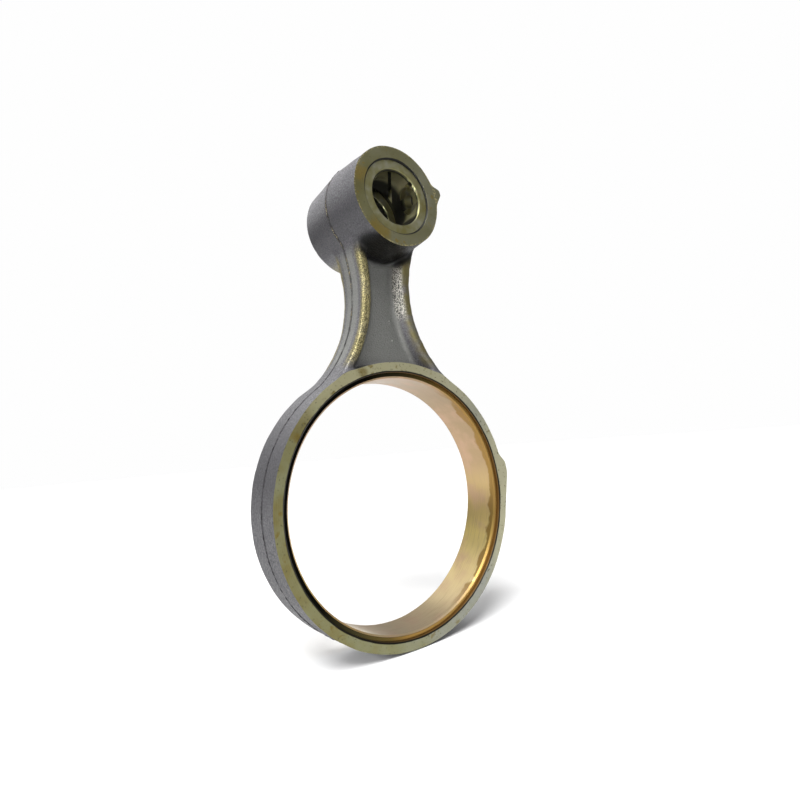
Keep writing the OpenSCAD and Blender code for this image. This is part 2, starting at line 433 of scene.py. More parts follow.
big_bush = turned_ring("big_end_bush_turned", BIG_BORE_RADIUS, HOUSING_RADIUS,
                       big_low.y, big_high.y, 0.0, 256)
front_bush = turned_ring("small_end_bush_front_turned", PIN_RADIUS, SMALL_HOUSING_RADIUS,
                         front_low.y, front_high.y, BOSS_HEIGHT, 128)
rear_bush = turned_ring("small_end_bush_rear_turned", PIN_RADIUS, SMALL_HOUSING_RADIUS,
                        rear_low.y, rear_high.y, BOSS_HEIGHT, 128)
print("bush faces", [len(ring.data.polygons) for ring in (big_bush, front_bush, rear_bush)])

# %% [markdown]
# The front bush takes the oil. The drill that went through the lug also goes through its wall,
# a flat face is milled round the hole inside the bore, a narrow oil groove crosses the upper
# wall at a slant, and a small notch is cut beside it.

# %% Oil ways of the front bush
bush_metal = bpy.data.materials.new("oiled bush steel")
bronze = bpy.data.materials.new("bored bronze")
front_bush.data.materials.append(bush_metal)
rear_bush.data.materials.append(bush_metal)
big_bush.data.materials.append(bronze)
FACE_DEEP = 0.2 * MM
SLOT_DEEP = 0.7 * MM
SLOT_START = 1.2 * MM
SLOT_SLANT = math.radians(35)
NOTCH_ANGLE = math.radians(43)


def mill(name, size, place, turn):
    """A block of a size, centred on a place and turned: a slot cutter."""
    bpy.ops.object.select_all(action="DESELECT")
    bpy.ops.mesh.primitive_cube_add(size=1, location=place, rotation=turn)
    bpy.context.object.scale = size
    return named(name)


slot_reach = PIN_RADIUS + SLOT_DEEP
slot_middle = (2.4 * MM, (front_low.y + front_high.y) / 2, BOSS_HEIGHT + slot_reach)
slot = mill("slot cutter", (MM, 40 * MM, 2 * slot_reach), slot_middle, (0, 0, -SLOT_SLANT))
slot_limit = bar("slot limit", slot_reach, front_low.y + SLOT_START, front_high.y + MM, z=BOSS_HEIGHT)
cut(slot, slot_limit, "INTERSECT")
half_reach = slot_reach / 2
notch_middle = (half_reach * math.cos(NOTCH_ANGLE), -BOSS_HALF + 1.9 * MM,
                BOSS_HEIGHT + half_reach * math.sin(NOTCH_ANGLE))
notch = mill("notch cutter", (slot_reach, 2.3 * MM, 1.4 * MM), notch_middle, (0, -NOTCH_ANGLE, 0))
for tool in (drill("oil drill", OIL_HOLE_RADIUS, 0.0, 14 * MM),
             drill("face cutter", 4 * MM, 0.0, PIN_RADIUS + FACE_DEEP), slot, notch):
    cut(front_bush, tool)
for piece in (big_bush, front_bush, rear_bush):
    only(piece)
    bpy.ops.object.shade_smooth_by_angle(angle=math.radians(30))
print("front bush faces", len(front_bush.data.polygons))

# %% [markdown]
# Colours are written as they look, in sRGB, and one function turns them to the linear values that
# a shader needs. One more function adds a node with its settings and its inputs, and returns one
# of its outputs; an input is a plain value or the output of another node. Three kinds do most of
# the work below. A Map Range with smooth steps is a mask: 0 below one place and 1 above another.
# Math puts masks together. A Mix lays one colour over another through a mask.

# %% Helpers for the finishes
def colour(code):
    """A hex sRGB colour as linear values."""
    parts = [int(code[i:i + 2], 16) / 255 for i in (1, 3, 5)]
    return [p / 12.92 if p <= 0.04045 else ((p + 0.055) / 1.055) ** 2.4 for p in parts] + [1.0]


def add(tree, kind, inputs, out=0, ramp=None, **settings):
    """Add a node with its settings, inputs and the stops of its ramp, and return one output."""
    node = tree.nodes.new("ShaderNode" + kind)
    for name, value in settings.items():
        setattr(node, name, value)
    for socket, value in inputs.items():
        if isinstance(value, bpy.types.NodeSocket):
            tree.links.new(value, node.inputs[socket])
        else:
            node.inputs[socket].default_value = value
    for number, (place, code) in enumerate(ramp or []):
        stops = node.color_ramp.elements
        stop = stops[number] if number < 2 else stops.new(place)
        stop.position = place
        stop.color = colour(code)
    return node.outputs[out]


def per_mm(size_mm):
    """The scale that gives a noise features of about that size on coordinates in metres."""
    return 1 / (size_mm * MM)


def begin(material):
    """Open a material: its nodes, its shader, its place coordinates, and those one by one."""
    material.use_nodes = True
    tree = material.node_tree
    place = add(tree, "TexCoord", {}, out="Object")
    return tree, tree.nodes["Principled BSDF"], place, add(tree, "SeparateXYZ", {0: place}).node.outputs


def finish_with(tree, shader, links):
    """Join the outputs of nodes to the shader's sockets."""
    for socket, value in links.items():
        tree.links.new(value, shader.inputs[socket])


def spot(tree, place, centre_mm, radius_mm, wobble):
    """A mask for a stain round a point, with an edge made uneven by a noise."""
    middle = [part * MM for part in centre_mm]
    far = add(tree, "VectorMath", {0: place, 1: middle}, out="Value", operation="DISTANCE")
    ragged = add(tree, "Math", {0: wobble, 1: radius_mm * 1.2 * MM, 2: far}, operation="MULTIPLY_ADD")
    return add(tree, "MapRange", {
        0: ragged,
        1: 1.5 * radius_mm * MM,
        2: 0.8 * radius_mm * MM}, interpolation_type="SMOOTHSTEP")


# %% [markdown]
# The rod is grey cast iron. Its skin was shot blasted, which leaves a fine dull grain with sparks
# of bare metal where small facets face the light. It is a warm grey, a little purple, and there
# is a film of yellow-green preserving oil on the crests of the flanges. The grit leaves pits of
# about 0.3 mm; the grain is drawn at 0.42 mm, a little coarser, so that it shows.

# %% Finish of the cast skin
tree, shader, place, xyz = begin(cast_skin)
grain = add(tree, "TexNoise", {"Vector": place, "Scale": per_mm(0.42), "Detail": 2.0})
patches = add(tree, "TexNoise", {"Vector": place, "Scale": per_mm(6.0), "Detail": 3.0})
skin_grey = add(tree, "ValToRGB", {
    0: grain}, ramp=[(0.3, "#5d5c5f"), (0.5, "#6d6c6f"), (0.72, "#828184")])
lower = add(tree, "MapRange", {0: xyz[2], 1: 34 * MM, 2: -26 * MM}, interpolation_type="SMOOTHSTEP")
skin_tone = add(tree, "Mix", {0: lower, 6: skin_grey, 7: colour("#3a393d")}, out=2, data_type="RGBA")
# Painted shade: the lower side of the boss is darkened towards a dark grey.
boss_low_shade = add(tree, "Math", {
    0: add(tree, "MapRange", {0: xyz[2], 1: 91 * MM, 2: 82 * MM}, interpolation_type="SMOOTHSTEP"),
    1: add(tree, "MapRange", {0: xyz[2], 1: 74 * MM, 2: 78 * MM}, interpolation_type="SMOOTHSTEP")},
    operation="MULTIPLY")
skin_tone = add(tree, "Mix", {
    0: add(tree, "Math", {0: boss_low_shade, 1: 0.7}, operation="MULTIPLY"),
    6: skin_tone,
    7: colour("#38373a")}, out=2, data_type="RGBA")
print("nodes with the skin tones", len(tree.nodes))

# %% [markdown]
# The depth is the distance from the parting line along the bores. The film of oil lies where the
# depth is that of the flanges' crests, and a patch of it low on the right. The floor of the web is
# painted paler, as painted light in the hollow between the flanges. Masks at the ring and the boss
# keep all this on the shank.

# %% Oil film on the flanges
depth = add(tree, "Math", {0: xyz[1], 1: 0.0}, operation="ABSOLUTE")
on_crest = add(tree, "MapRange", {0: depth, 1: 3.8 * MM, 2: 5.6 * MM}, interpolation_type="SMOOTHSTEP")
off_ring = add(tree, "MapRange", {0: xyz[2], 1: 38 * MM, 2: 43 * MM}, interpolation_type="SMOOTHSTEP")
off_boss = add(tree, "MapRange", {0: xyz[2], 1: 76 * MM, 2: 72 * MM}, interpolation_type="SMOOTHSTEP")
on_shank = add(tree, "Math", {
    0: add(tree, "Math", {0: off_ring, 1: off_boss}, operation="MULTIPLY"),
    1: on_crest}, operation="MULTIPLY")
oil = add(tree, "Math", {
    0: on_shank,
    1: add(tree, "MapRange", {0: patches, 1: 0.25, 2: 0.62}, interpolation_type="SMOOTHSTEP")},
    operation="MULTIPLY")
oiled = add(tree, "Mix", {0: oil, 6: skin_tone, 7: colour("#716a45")}, out=2, data_type="RGBA")
lower_right = spot(tree, place, (12.5, -6.5, 46), 3.4, patches)
oiled = add(tree, "Mix", {
    0: add(tree, "Math", {0: lower_right, 1: 0.7}, operation="MULTIPLY"),
    6: oiled,
    7: colour("#6e6230")}, out=2, data_type="RGBA")
# Painted shadow: the hollow under the boss, found by a squashed distance from a point below it.
under_boss = add(tree, "VectorMath", {0: place, 1: (0, -9 * MM, 75 * MM)}, operation="SUBTRACT")
under_boss = add(tree, "VectorMath", {0: under_boss, 1: (1.0, 1.1, 2.0)}, operation="MULTIPLY")
under_boss = add(tree, "VectorMath", {0: under_boss}, out="Value", operation="LENGTH")
under_boss_shadow = add(tree, "MapRange", {
    0: under_boss,
    1: 12.5 * MM,
    2: 9 * MM}, interpolation_type="SMOOTHSTEP")
# Painted light: the floor of the web between the flanges is made paler.
web_light_mask = add(tree, "Math", {
    0: add(tree, "MapRange", {0: depth, 1: 3.6 * MM, 2: 2.6 * MM}, interpolation_type="SMOOTHSTEP"),
    1: add(tree, "Math", {0: off_ring, 1: off_boss}, operation="MULTIPLY")}, operation="MULTIPLY")
web_lightened = add(tree, "Mix", {
    0: add(tree, "Math", {0: web_light_mask, 1: 0.75}, operation="MULTIPLY"),
    6: oiled,
    7: colour("#8d8e89")}, out=2, data_type="RGBA")
print("nodes with the oil film", len(tree.nodes))

# %% [markdown]
# On the inner wall of one flange and the crest of the other a painted highlight is drawn as a
# two-tone speckle, silver on the wall and gold on the crest. Three small bare spots on the web are
# drawn by place, and the hollow under the boss is painted black as its shadow.

# %% Painted highlights on the flanges
in_wall = add(tree, "Math", {
    0: add(tree, "MapRange", {0: depth, 1: 2.3 * MM, 2: 3.0 * MM}, interpolation_type="SMOOTHSTEP"),
    1: add(tree, "MapRange", {0: depth, 1: 6.0 * MM, 2: 5.0 * MM}, interpolation_type="SMOOTHSTEP")},
    operation="MULTIPLY")
at_right = add(tree, "Math", {
    0: add(tree, "MapRange", {0: xyz[0], 1: 2.0 * MM, 2: 3.6 * MM}, interpolation_type="SMOOTHSTEP"),
    1: add(tree, "MapRange", {0: xyz[2], 1: 53 * MM, 2: 57 * MM}, interpolation_type="SMOOTHSTEP")},
    operation="MULTIPLY")
# Painted highlight: a silver speckle on the upper inner wall of the right flange.
right_wall_highlight = add(tree, "Math", {
    0: add(tree, "Math", {0: in_wall, 1: at_right}, operation="MULTIPLY"),
    1: add(tree, "MapRange", {0: xyz[2], 1: 72 * MM, 2: 70 * MM}, interpolation_type="SMOOTHSTEP")},
    operation="MULTIPLY")
# Painted highlight: a gold speckle on the crest of the left flange.
left_crest_highlight = add(tree, "Math", {
    0: add(tree, "MapRange", {0: xyz[0], 1: -1.0 * MM, 2: -3.0 * MM}, interpolation_type="SMOOTHSTEP"),
    1: on_shank}, operation="MULTIPLY")
sparks = add(tree, "MapRange", {
    0: add(tree, "TexNoise", {"Vector": place, "Scale": per_mm(0.36)}),
    1: 0.44,
    2: 0.6}, interpolation_type="SMOOTHSTEP")
silver_highlight_speckle = add(tree, "Mix", {
    0: sparks,
    6: colour("#4e4e4a"),
    7: colour("#d2cfc5")}, out=2, data_type="RGBA")
gold_highlight_speckle = add(tree, "Mix", {
    0: sparks,
    6: colour("#544f33"),
    7: colour("#c6ba88")}, out=2, data_type="RGBA")
highlights_and_nicks = add(tree, "Mix", {
    0: add(tree, "Math", {0: right_wall_highlight, 1: 0.9}, operation="MULTIPLY"),
    6: web_lightened,
    7: silver_highlight_speckle}, out=2, data_type="RGBA")
highlights_and_nicks = add(tree, "Mix", {
    0: add(tree, "Math", {0: left_crest_highlight, 1: 0.7}, operation="MULTIPLY"),
    6: highlights_and_nicks,
    7: gold_highlight_speckle}, out=2, data_type="RGBA")
for centre in ((2.4, -2.2, 54.2), (2.4, -2.2, 53.4), (2.9, -2.2, 48.2)):
    highlights_and_nicks = add(tree, "Mix", {
        0: spot(tree, place, centre, 0.4, grain),
        6: highlights_and_nicks,
        7: colour("#e4e4de")}, out=2, data_type="RGBA")
# The painted shadow under the boss is laid on here, nearly black.
under_boss_shadowed = add(tree, "Mix", {
    0: add(tree, "Math", {0: under_boss_shadow, 1: 0.97}, operation="MULTIPLY"),
    6: highlights_and_nicks,
    7: colour("#080809")}, out=2, data_type="RGBA")
print("nodes with the sparks", len(tree.nodes))

# %% [markdown]
# Beside the flash of the parting line a dark band is painted as its shade, and the tops of its beads are
# painted bright as highlights.

# %% Painted shade and highlights along the seam
flash_top = add(tree, "MapRange", {
    0: depth,
    1: 0.28 * MM,
    2: 0.14 * MM}, interpolation_type="SMOOTHSTEP")
# Painted shade: a dark band on both sides of the flash.
seam_shade = add(tree, "Math", {
    0: add(tree, "MapRange", {0: depth, 1: 0.6 * MM, 2: 0.4 * MM}, interpolation_type="SMOOTHSTEP"),
    1: add(tree, "MapRange", {0: patches, 1: 0.25, 2: 0.45}, interpolation_type="SMOOTHSTEP")},
    operation="MULTIPLY")
seam_shaded = add(tree, "Mix", {
    0: add(tree, "Math", {0: seam_shade, 1: 0.8}, operation="MULTIPLY"),
    6: under_boss_shadowed,
    7: colour("#262426")}, out=2, data_type="RGBA")
# Painted highlight: bright tops on the beads of the flash, above the middle of the shank.
beads = add(tree, "Math", {
    0: add(tree, "Math", {
        0: flash_top,
        1: add(tree, "MapRange", {0: xyz[2], 1: 50 * MM, 2: 60 * MM}, interpolation_type="SMOOTHSTEP")},
        operation="MULTIPLY"),
    1: add(tree, "Math", {
        0: add(tree, "MapRange", {0: grain, 1: 0.48, 2: 0.58}, interpolation_type="SMOOTHSTEP"),
        1: add(tree, "MapRange", {0: patches, 1: 0.4, 2: 0.55}, interpolation_type="SMOOTHSTEP")},
        operation="MULTIPLY")}, operation="MULTIPLY")
bead_highlighted = add(tree, "Mix", {0: beads, 6: seam_shaded, 7: colour("#b3a67c")}, out=2, data_type="RGBA")
print("nodes with the seam", len(tree.nodes))

# %% [markdown]
# The same grain drives the roughness and the bump, so that a spark is smooth as well as bright.
# The bump is stronger on the shank, which is rougher than the ring and the boss.

# %% Grain of the cast skin
rough = add(tree, "MapRange", {0: grain, 1: 0.3, 2: 0.7, 3: 0.62, 4: 0.3})
bump_strength = add(tree, "MapRange", {
    0: add(tree, "Math", {0: off_ring, 1: off_boss}, operation="MULTIPLY"),
    3: 0.45,
    4: 0.8})
bump = add(tree, "Bump", {"Height": grain, "Strength": bump_strength, "Distance": 0.25 * MM})
shader.inputs["Metallic"].default_value = 0.7
finish_with(tree, shader, {"Base Color": bead_highlighted, "Roughness": rough, "Normal": bump})
print("cast skin nodes", len(cast_skin.node_tree.nodes))

# %% [markdown]
# The turned faces are the same iron with the skin cut away: paler and smoother, with fine
# concentric tool marks. The film of oil has dried on them in yellow-green patches, thicker on one
# side, with a few rust-brown stains. Tool marks are 0.2 mm apart in truth, and drawn at 0.5 mm.

# %% Finish of the turned faces
tree, shader, place, xyz = begin(turned_face)
patches = add(tree, "TexNoise", {"Vector": place, "Scale": per_mm(7.0), "Detail": 4.0})
speckle = add(tree, "TexNoise", {"Vector": place, "Scale": per_mm(0.6), "Detail": 2.0})
side = add(tree, "MapRange", {0: xyz[0], 1: 35 * MM, 2: -35 * MM}, interpolation_type="SMOOTHSTEP")
film = add(tree, "Math", {
    0: add(tree, "Math", {0: patches, 1: 0.62}, operation="MULTIPLY"),
    1: add(tree, "Math", {0: side, 1: 0.36}, operation="MULTIPLY")}, operation="ADD")
face_tone = add(tree, "ValToRGB", {
    0: film}, ramp=[(0.3, "#9c9d93"), (0.46, "#8f907a"), (0.6, "#84835f"), (0.74, "#7a7246")])
rust_noise = add(tree, "TexNoise", {"Vector": place, "Scale": per_mm(2.2), "Detail": 3.0})
stains = add(tree, "MapRange", {0: rust_noise, 1: 0.62, 2: 0.72}, interpolation_type="SMOOTHSTEP")
for centre, radius in (((-12.5, -14.5, 92), 4.2), ((-7.5, -14.5, 76.5), 5.6), ((-38.6, -7.5, 2), 1.1),
                       ((-33, -7.5, 20), 2.2), ((12, -14.5, 98), 2.0), ((-12, -7.5, 37), 2.6)):
    stains = add(tree, "Math", {
        0: stains,
        1: spot(tree, place, centre, radius, rust_noise)}, operation="MAXIMUM")
at_boss = add(tree, "MapRange", {0: xyz[2], 1: 55 * MM, 2: 60 * MM}, interpolation_type="SMOOTHSTEP")
face_tones = add(tree, "Mix", {
    0: add(tree, "Math", {0: at_boss, 1: 0.7}, operation="MULTIPLY"),
    6: face_tone,
    7: colour("#565230")}, out=2, data_type="RGBA")
print("nodes with the film", len(tree.nodes))

# %% [markdown]
# The faces are paler towards the shank and on the side of the pad. The stains are the spots
# placed above and a scatter of small ones, and fine dark speckles lie over everything.

# %% Paler and stained faces
upper = add(tree, "Math", {
    0: add(tree, "MapRange", {0: xyz[2], 1: 20 * MM, 2: 34 * MM}, interpolation_type="SMOOTHSTEP"),
    1: add(tree, "MapRange", {0: xyz[2], 1: 50 * MM, 2: 46 * MM}, interpolation_type="SMOOTHSTEP")},
    operation="MULTIPLY")
far_side = add(tree, "MapRange", {0: xyz[0], 1: 26 * MM, 2: 38 * MM}, interpolation_type="SMOOTHSTEP")
paler_band = add(tree, "Math", {
    0: add(tree, "Math", {0: upper, 1: far_side}, operation="MAXIMUM"),
    1: 0.7}, operation="MULTIPLY")
face_tones = add(tree, "Mix", {0: paler_band, 6: face_tones, 7: colour("#bdb894")}, out=2, data_type="RGBA")
stain_depth = add(tree, "MapRange", {0: speckle, 1: 0.35, 2: 0.6, 3: 0.55, 4: 0.85})
stained = add(tree, "Mix", {
    0: add(tree, "Math", {0: stains, 1: stain_depth}, operation="MULTIPLY"),
    6: face_tones,
    7: colour("#75642a")}, out=2, data_type="RGBA")
speckled = add(tree, "Mix", {
    0: add(tree, "MapRange", {0: speckle, 1: 0.62, 2: 0.75}, interpolation_type="SMOOTHSTEP"),
    6: stained,
    7: colour("#55533c")}, out=2, data_type="RGBA")
print("nodes with the stains", len(tree.nodes))

# %% [markdown]
# Rings round the axis of each bore stand for the marks of the facing tool. Their scale is set so
# that one ring is 0.5 mm wide, and the height tells which axis a face belongs to.

# %% Tool marks on the faces
middle = add(tree, "Mapping", {"Vector": place, "Location": (0, 0, -BOSS_HEIGHT)})
big_marks = add(tree, "TexWave", {
    "Vector": place,
    "Scale": 0.314 / (0.5 * MM),
    "Distortion": 0.6}, out="Fac", wave_type="RINGS", rings_direction="Y")
small_marks = add(tree, "TexWave", {
    "Vector": middle,
    "Scale": 0.314 / (0.5 * MM),
    "Distortion": 0.6}, out="Fac", wave_type="RINGS", rings_direction="Y")
marks = add(tree, "Mix", {0: at_boss, 2: big_marks, 3: small_marks}, data_type="FLOAT")
print("nodes with the tool marks", len(tree.nodes))

# %% [markdown]
# Old oil draws a dark line round each pressed-in bush. The wall of the step in front of the bronze
# is brown on the right side, and the outer edge of the boss's face has a painted glint.

# %% Dark joints and a painted glint on the rim
joints = 0.0
for centre, radius, low_edge in ((place, HOUSING_RADIUS, 0.3), (middle, SMALL_HOUSING_RADIUS, 0.2)):
    flat = add(tree, "VectorMath", {0: centre, 1: (1, 0, 1)}, operation="MULTIPLY")
    far = add(tree, "VectorMath", {0: flat}, out="Value", operation="LENGTH")
    ragged = add(tree, "Math", {0: patches, 1: -0.5 * MM, 2: far}, operation="MULTIPLY_ADD")
    line = add(tree, "MapRange", {
        0: ragged,
        1: radius + low_edge * MM,
        2: radius + (low_edge - 0.15) * MM}, interpolation_type="SMOOTHSTEP")
    joints = add(tree, "Math", {0: joints, 1: line}, operation="MAXIMUM")
# Painted highlight: a speckled glint along the outer edge of the boss's face.
rim_painted_glint = add(tree, "Math", {
    0: add(tree, "MapRange", {0: far, 1: 14.2 * MM, 2: 14.6 * MM}, interpolation_type="SMOOTHSTEP"),
    1: add(tree, "MapRange", {0: speckle, 1: 0.5, 2: 0.6}, interpolation_type="SMOOTHSTEP")},
    operation="MULTIPLY")
rim_painted_glint = add(tree, "Math", {
    0: add(tree, "Math", {0: rim_painted_glint, 1: at_boss}, operation="MULTIPLY"),
    1: add(tree, "MapRange", {0: far, 1: 15.6 * MM, 2: 15.3 * MM}, interpolation_type="SMOOTHSTEP")},
    operation="MULTIPLY")
rim_glinted = add(tree, "Mix", {
    0: add(tree, "Math", {0: rim_painted_glint, 1: 0.7}, operation="MULTIPLY"),
    6: speckled,
    7: colour("#b5a878")}, out=2, data_type="RGBA")
step_wall = add(tree, "Math", {
    0: add(tree, "MapRange", {0: xyz[1], 1: -7.3 * MM, 2: -7.1 * MM}, interpolation_type="SMOOTHSTEP"),
    1: add(tree, "MapRange", {0: xyz[2], 1: 45 * MM, 2: 40 * MM}, interpolation_type="SMOOTHSTEP")},
    operation="MULTIPLY")
step_wall = add(tree, "Math", {
    0: step_wall,
    1: add(tree, "MapRange", {0: xyz[0], 1: -20 * MM, 2: 5 * MM}, interpolation_type="SMOOTHSTEP")},
    operation="MULTIPLY")
joint_tone = add(tree, "Mix", {
    0: step_wall,
    6: colour("#0e0e0a"),
    7: colour("#6e5329")}, out=2, data_type="RGBA")
jointed = add(tree, "Mix", {0: joints, 6: rim_glinted, 7: joint_tone}, out=2, data_type="RGBA")
bump = add(tree, "Bump", {"Height": marks, "Strength": 0.18, "Distance": 0.05 * MM})
rough = add(tree, "MapRange", {0: patches, 1: 0.3, 2: 0.7, 3: 0.55, 4: 0.4})
shader.inputs["Metallic"].default_value = 0.7
finish_with(tree, shader, {"Base Color": jointed, "Roughness": rough, "Normal": bump})
print("turned face nodes", len(turned_face.node_tree.nodes))

# %% [markdown]
# The big bush is bored bronze: a pinkish copper tone in patches, very fine lines round the bore,
# and an irregular brown oil stain near its front edge on the far side. Its colour down the height is
# painted light: a bright golden band low in the bore as painted reflection, darker towards the top
# as painted shade. Its end is dark with old oil, down in the step of the ring, and painted shade
# makes it black on the left side.

# %% Finish of the bronze
tree, shader, place, xyz = begin(bronze)
clouds = add(tree, "TexNoise", {"Vector": place, "Scale": per_mm(7.0), "Detail": 4.0})
lines = add(tree, "Mapping", {"Vector": place, "Scale": (0.05, 1.0, 0.05)})
streaks = add(tree, "TexNoise", {"Vector": lines, "Scale": per_mm(0.35), "Detail": 2.0})
height = add(tree, "MapRange", {0: xyz[2], 1: -36 * MM, 2: 36 * MM})
# Painted light: the tone changes with height, a bright golden band low in the bore as a painted
# reflection, darker at the top as painted shade.
tone = add(tree, "ValToRGB", {
    0: height},
    ramp=[(0.0, "#c9b592"), (0.14, "#cdb886"), (0.3, "#e8d186"), (0.45, "#c9ae78"), (0.62, "#a68e6c"),
          (1.0, "#9a866c")])
pink = add(tree, "Math", {
    0: add(tree, "MapRange", {0: clouds, 1: 0.42, 2: 0.72}, interpolation_type="SMOOTHSTEP"),
    1: 0.6}, operation="MULTIPLY")
pinker = add(tree, "Mix", {0: pink, 6: tone, 7: colour("#c2a088")}, out=2, data_type="RGBA")
streaked = add(tree, "Mix", {
    0: add(tree, "Math", {
        0: add(tree, "MapRange", {0: streaks, 1: 0.45, 2: 0.8}, interpolation_type="SMOOTHSTEP"),
        1: 0.5}, operation="MULTIPLY"),
    6: pinker,
    7: colour("#a8926f")}, out=2, data_type="RGBA")
print("nodes with the tones", len(tree.nodes))

# %% [markdown]
# The brown stain is a band along the front edge, made uneven by the clouds. The end of the bush
# changes from black to brown across the ring: old oil, with painted shade of the step that makes
# the left side black.

# %% Stain and end of the bronze
edge = add(tree, "Math", {
    0: add(tree, "Math", {0: clouds, 1: 9 * MM}, operation="MULTIPLY"),
    1: xyz[1]}, operation="SUBTRACT")
stain = add(tree, "MapRange", {0: edge, 1: 8.4 * MM, 2: 9.4 * MM}, interpolation_type="SMOOTHSTEP")
right = add(tree, "MapRange", {0: xyz[0], 1: 10 * MM, 2: 26 * MM}, interpolation_type="SMOOTHSTEP")
stain_mask = add(tree, "Math", {
    0: add(tree, "Math", {0: stain, 1: right}, operation="MULTIPLY"),
    1: 0.8}, operation="MULTIPLY")
stained = add(tree, "Mix", {0: stain_mask, 6: streaked, 7: colour("#8a6a2c")}, out=2, data_type="RGBA")
end = add(tree, "MapRange", {0: xyz[1], 1: -6.38 * MM, 2: -6.46 * MM}, interpolation_type="SMOOTHSTEP")
across = add(tree, "Math", {
    0: add(tree, "Math", {0: xyz[2], 1: -0.3}, operation="MULTIPLY"),
    1: xyz[0]}, operation="ADD")
across = add(tree, "MapRange", {0: across, 1: -36 * MM, 2: 36 * MM})
# Painted shade: the end is black on the left side, in the shade of the step, and brown on the right.
end_oil_and_shade = add(tree, "ValToRGB", {
    0: across},
    ramp=[(0.2, "#0b0a07"), (0.36, "#36321f"), (0.52, "#5c4d28"), (0.62, "#8a6c38"), (0.8, "#9b7c45")])
ended = add(tree, "Mix", {0: end, 6: stained, 7: end_oil_and_shade}, out=2, data_type="RGBA")
bump = add(tree, "Bump", {"Height": streaks, "Strength": 0.12, "Distance": 0.05 * MM})
rough = add(tree, "MapRange", {0: clouds, 1: 0.3, 2: 0.7, 3: 0.3, 4: 0.42})
shader.inputs["Metallic"].default_value = 1.0
finish_with(tree, shader, {"Base Color": ended, "Roughness": rough, "Normal": bump})
print("bronze nodes", len(bronze.node_tree.nodes))

# %% [markdown]
# The small bushes are turned steel under the same film of oil, darker and greener than the iron
# round them. The inner wall is painted paler as painted light, the front chamfer a little darker as
# painted shade, and deep in the bore the wall is painted black as shade.

# %% Finish of the small bushes
tree, shader, place, xyz = begin(bush_metal)
clouds = add(tree, "TexNoise", {"Vector": place, "Scale": per_mm(3.0), "Detail": 4.0})
middle = add(tree, "Mapping", {"Vector": place, "Location": (0, 0, -BOSS_HEIGHT)})
bush_tone = add(tree, "ValToRGB", {
    0: clouds}, ramp=[(0.32, "#8b8a76"), (0.5, "#7f7c5a"), (0.68, "#767043")])
flat = add(tree, "VectorMath", {0: middle, 1: (1, 0, 1)}, operation="MULTIPLY")
from_axis = add(tree, "VectorMath", {0: flat}, out="Value", operation="LENGTH")
inside = add(tree, "MapRange", {
    0: from_axis,
    1: 8.42 * MM,
    2: 8.35 * MM}, interpolation_type="SMOOTHSTEP")
# Painted light: the inner wall of the bore is made paler.
bore_light_and_shade = add(tree, "Mix", {
    0: add(tree, "Math", {0: inside, 1: 0.7}, operation="MULTIPLY"),
    6: bush_tone,
    7: colour("#aaa67c")}, out=2, data_type="RGBA")
# Painted shade: the front chamfer inside the bore is made darker.
chamfer_shade = add(tree, "Math", {
    0: inside,
    1: add(tree, "MapRange", {
        0: xyz[1],
        1: -13.2 * MM,
        2: -13.5 * MM}, interpolation_type="SMOOTHSTEP")}, operation="MULTIPLY")
bore_light_and_shade = add(tree, "Mix", {0: chamfer_shade, 6: bore_light_and_shade, 7: colour("#6c6a49")}, out=2, data_type="RGBA")
print("nodes with the tones", len(tree.nodes))

# %% [markdown]
# The low side and the middle of the bore are painted black as shade, and so are the groove and the
# notch, which are found as places deeper than the bore's own wall.

# %% Painted shade in the small bore
tilt = add(tree, "Math", {
    0: add(tree, "Math", {0: xyz[0], 1: 0.5}, operation="MULTIPLY"),
    1: xyz[2]}, operation="ADD")
low = add(tree, "MapRange", {
    0: tilt,
    1: BOSS_HEIGHT + 1.2 * MM,
    2: BOSS_HEIGHT - 1.2 * MM}, interpolation_type="SMOOTHSTEP")
deep = add(tree, "Math", {
    0: add(tree, "MapRange", {0: xyz[1], 1: -9.5 * MM, 2: -6.5 * MM}, interpolation_type="SMOOTHSTEP"),
    1: add(tree, "MapRange", {0: xyz[1], 1: 12 * MM, 2: 9 * MM}, interpolation_type="SMOOTHSTEP")},
    operation="MULTIPLY")
bore_shade = add(tree, "Math", {
    0: add(tree, "Math", {0: low, 1: deep}, operation="MAXIMUM"),
    1: inside}, operation="MULTIPLY")
dug = add(tree, "MapRange", {
    0: from_axis,
    1: PIN_RADIUS + 0.1 * MM,
    2: PIN_RADIUS + 0.25 * MM}, interpolation_type="SMOOTHSTEP")
dug = add(tree, "Math", {
    0: dug,
    1: add(tree, "MapRange", {
        0: xyz[1],
        1: -13.85 * MM,
        2: -13.6 * MM}, interpolation_type="SMOOTHSTEP")}, operation="MULTIPLY")
dug = add(tree, "Math", {
    0: dug,
    1: add(tree, "MapRange", {
        0: xyz[1],
        1: front_high.y - 0.1 * MM,
        2: front_high.y - 0.4 * MM}, interpolation_type="SMOOTHSTEP")}, operation="MULTIPLY")
groove = add(tree, "Math", {
    0: dug,
    1: add(tree, "MapRange", {0: xyz[0], 1: 5 * MM, 2: 4.5 * MM}, interpolation_type="SMOOTHSTEP")},
    operation="MULTIPLY")
notched = add(tree, "Math", {
    0: dug,
    1: spot(tree, place, (6.4, -12.6, 94), 1.6, clouds)}, operation="MULTIPLY")
bore_shade = add(tree, "Math", {
    0: bore_shade,
    1: add(tree, "Math", {0: groove, 1: notched}, operation="MAXIMUM")}, operation="MAXIMUM")
# Painted shade: the low side and the middle of the bore, the groove and the notch go nearly black.
bore_shaded = add(tree, "Mix", {
    0: add(tree, "Math", {0: bore_shade, 1: 0.97}, operation="MULTIPLY"),
    6: bore_light_and_shade,
    7: colour("#070706")}, out=2, data_type="RGBA")
print("nodes with the old oil", len(tree.nodes))

